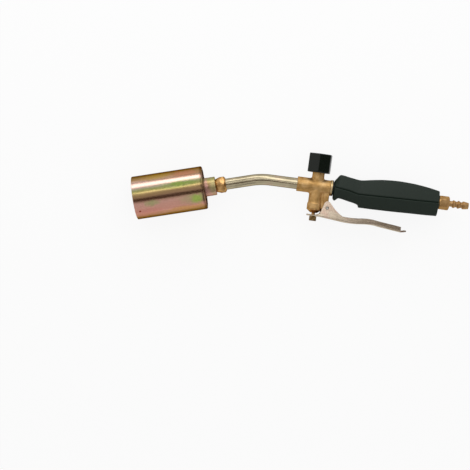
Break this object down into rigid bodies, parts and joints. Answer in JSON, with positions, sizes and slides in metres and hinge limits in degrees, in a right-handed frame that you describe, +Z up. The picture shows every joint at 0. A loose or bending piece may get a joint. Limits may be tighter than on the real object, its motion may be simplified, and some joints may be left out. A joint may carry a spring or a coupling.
{
  "type": "propane torch",
  "caption": "Hand-held propane torch lying on its side: wide cup burner on a bent lance, brass valve with knob and squeeze lever, moulded grip and barbed hose tail.",
  "frame": {"origin": "on the gas line, in the middle of the cylindrical land of the hose tail's last barb", "axes": "the torch lies on its side: +X along the gas line, the way the hose leaves; +Y towards the knob; +Z up from the surface it lies on, along the lever's pivot"},
  "size_m": [0.3892, 0.1026, 0.05],
  "materials": {
    "zinc_iridescent": "yellow passivated zinc plating with streaks of olive, pink and green, semi-bright",
    "dark_steel": "plain steel, darkened by heat",
    "brass_turned": "turned, semi-bright",
    "brass_cast": "sand cast and tumbled, matte",
    "nickel_steel": "nickel plated, satin and slightly warm",
    "spring_steel": "bright steel",
    "knob_plastic": "black moulded plastic with a slight sheen",
    "grip_plastic": "dark green-black moulded plastic with a fine grain",
    "seal_rubber": "black nitrile rubber"
  },
  "bodies": {
    "torch": {"burner_shell": "zinc_iridescent", "burner_back_plate": "zinc_iridescent", "burner_neck": "zinc_iridescent", "mixing_tube": "dark_steel", "flame_holder": "dark_steel", "gas_jet": "brass_turned", "lance_nut": "brass_turned", "lance_tube": "nickel_steel", "valve_body": "brass_cast", "gland_nut": "brass_turned", "valve_spring": "spring_steel", "bottom_cap": "brass_turned", "stem_oring": "seal_rubber", "lever_pin": "spring_steel", "grip_upper": "grip_plastic", "grip_lower": "grip_plastic", "rear_collar": "brass_turned", "supply_tube": "brass_turned", "tail_washer": "brass_turned", "hose_tail": "brass_turned"},
    "spindle_seal": {"spindle_oring": "seal_rubber"},
    "control": {"knob": "knob_plastic", "knob_screw": "nickel_steel", "spindle": "brass_turned"},
    "lever": {"lever": "nickel_steel"},
    "plunger": {"plunger": "brass_turned", "disc_seal": "seal_rubber", "adjusting_nut": "brass_turned"}
  },
  "joints": [
    {"name": "needle_lift", "type": "slide", "parent": "torch", "child": "spindle_seal", "axis": [0, 1, 0], "range_m": [0, 0.0015]},
    {"name": "knob_turn", "type": "hinge", "parent": "spindle_seal", "child": "control", "pos_m": [-0.1693, 0, 0], "axis": [0, 1, 0], "range_deg": [0, 540]},
    {"name": "lever_squeeze", "type": "hinge", "parent": "torch", "child": "lever", "pos_m": [-0.1547, -0.0233, 0], "axis": [0, 0, 1], "range_deg": [0, 10]},
    {"name": "plunger_slide", "type": "slide", "parent": "torch", "child": "plunger", "axis": [0, -1, 0], "range_m": [0, 0.00343], "stiffness_N_per_m": 400, "springref_m": -0.0025, "deforming": ["valve_spring"]}
  ],
  "couplings": [
    {"joint": "knob_turn", "follows": "needle_lift", "rad_per_m": 6283.2},
    {"joint": "lever_squeeze", "follows": "plunger_slide", "rad_per_m": 50.76}
  ]
}
